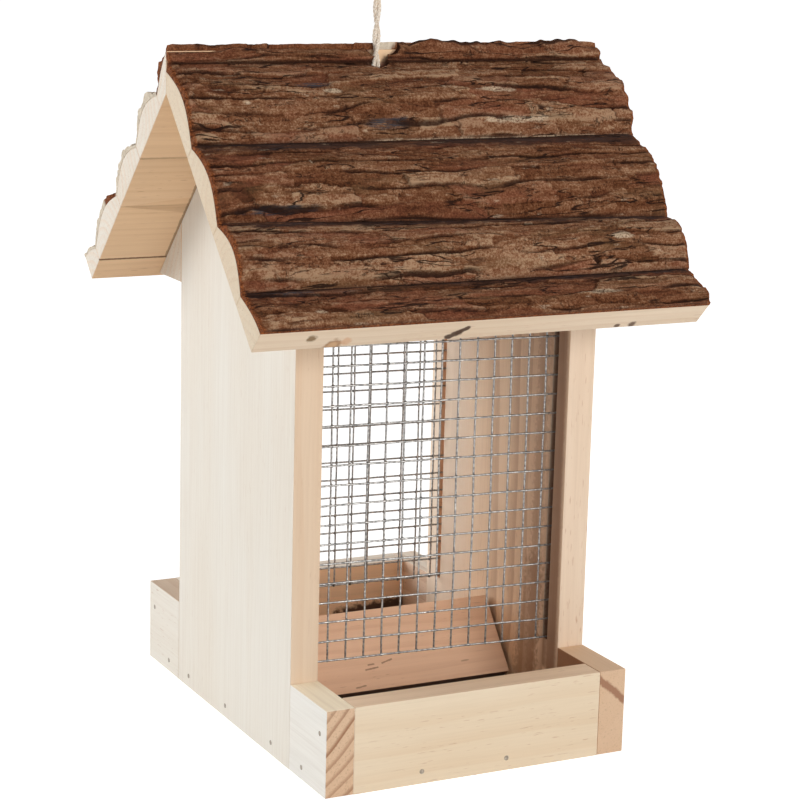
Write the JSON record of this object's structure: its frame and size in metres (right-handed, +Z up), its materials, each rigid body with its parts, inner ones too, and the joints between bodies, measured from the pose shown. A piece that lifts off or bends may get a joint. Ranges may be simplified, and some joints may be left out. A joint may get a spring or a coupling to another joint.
{
  "type": "bird feeder",
  "caption": "Hanging wooden bird feeder: gabled pine silo with wire mesh front and rear, open seed trays, and a bark slab roof that lifts off along a twine hanger.",
  "frame": {"origin": "middle of the base, on the surface that the feeder stands on", "axes": "+X along the ridge to the right of someone facing the front, -Y towards the front, +Z up"},
  "size_m": [0.1568, 0.1522, 0.2928],
  "materials": {
    "wall_pine": "planed, unfinished",
    "tray_pine": "planed, unfinished",
    "sapwood": "sawn, unfinished",
    "bark": "rough natural bark",
    "galvanised_wire": "galvanised",
    "jute": "twisted jute",
    "brad_steel": "bright steel"
  },
  "bodies": {
    "box": {"left_wall": "wall_pine", "right_wall": "wall_pine", "floor_panel": "tray_pine", "tray_front": "tray_pine", "tray_rear": "tray_pine", "tray_end_front_left": "wall_pine", "tray_end_front_right": "wall_pine", "tray_end_rear_left": "wall_pine", "tray_end_rear_right": "wall_pine", "seed_slope_front": "tray_pine", "seed_slope_rear": "tray_pine", "mesh_front": "galvanised_wire", "mesh_rear": "galvanised_wire", "floor_brads": "brad_steel", "tray_brads": "brad_steel", "hanger_twine": "jute", "twine_knot_left": "jute", "twine_knot_right": "jute"},
    "roof": {"front_slab_1": "sapwood", "front_slab_2": "sapwood", "front_slab_3": "sapwood", "front_slab_4": "sapwood", "front_bark_1": "bark", "front_bark_2": "bark", "front_bark_3": "bark", "front_bark_4": "bark", "rear_slab_1": "sapwood", "rear_slab_2": "sapwood", "rear_slab_3": "sapwood", "rear_slab_4": "sapwood", "rear_slab_5": "sapwood", "rear_bark_1": "bark", "rear_bark_2": "bark", "rear_bark_3": "bark", "rear_bark_4": "bark", "rear_bark_5": "bark", "ridge_strip": "bark", "eave_rail_front": "sapwood", "eave_rail_rear": "sapwood", "roof_brads": "brad_steel"}
  },
  "joints": [
    {"name": "roof_lift", "type": "slide", "parent": "box", "child": "roof", "axis": [0, 0, 1], "range_m": [0, 0.055]}
  ]
}
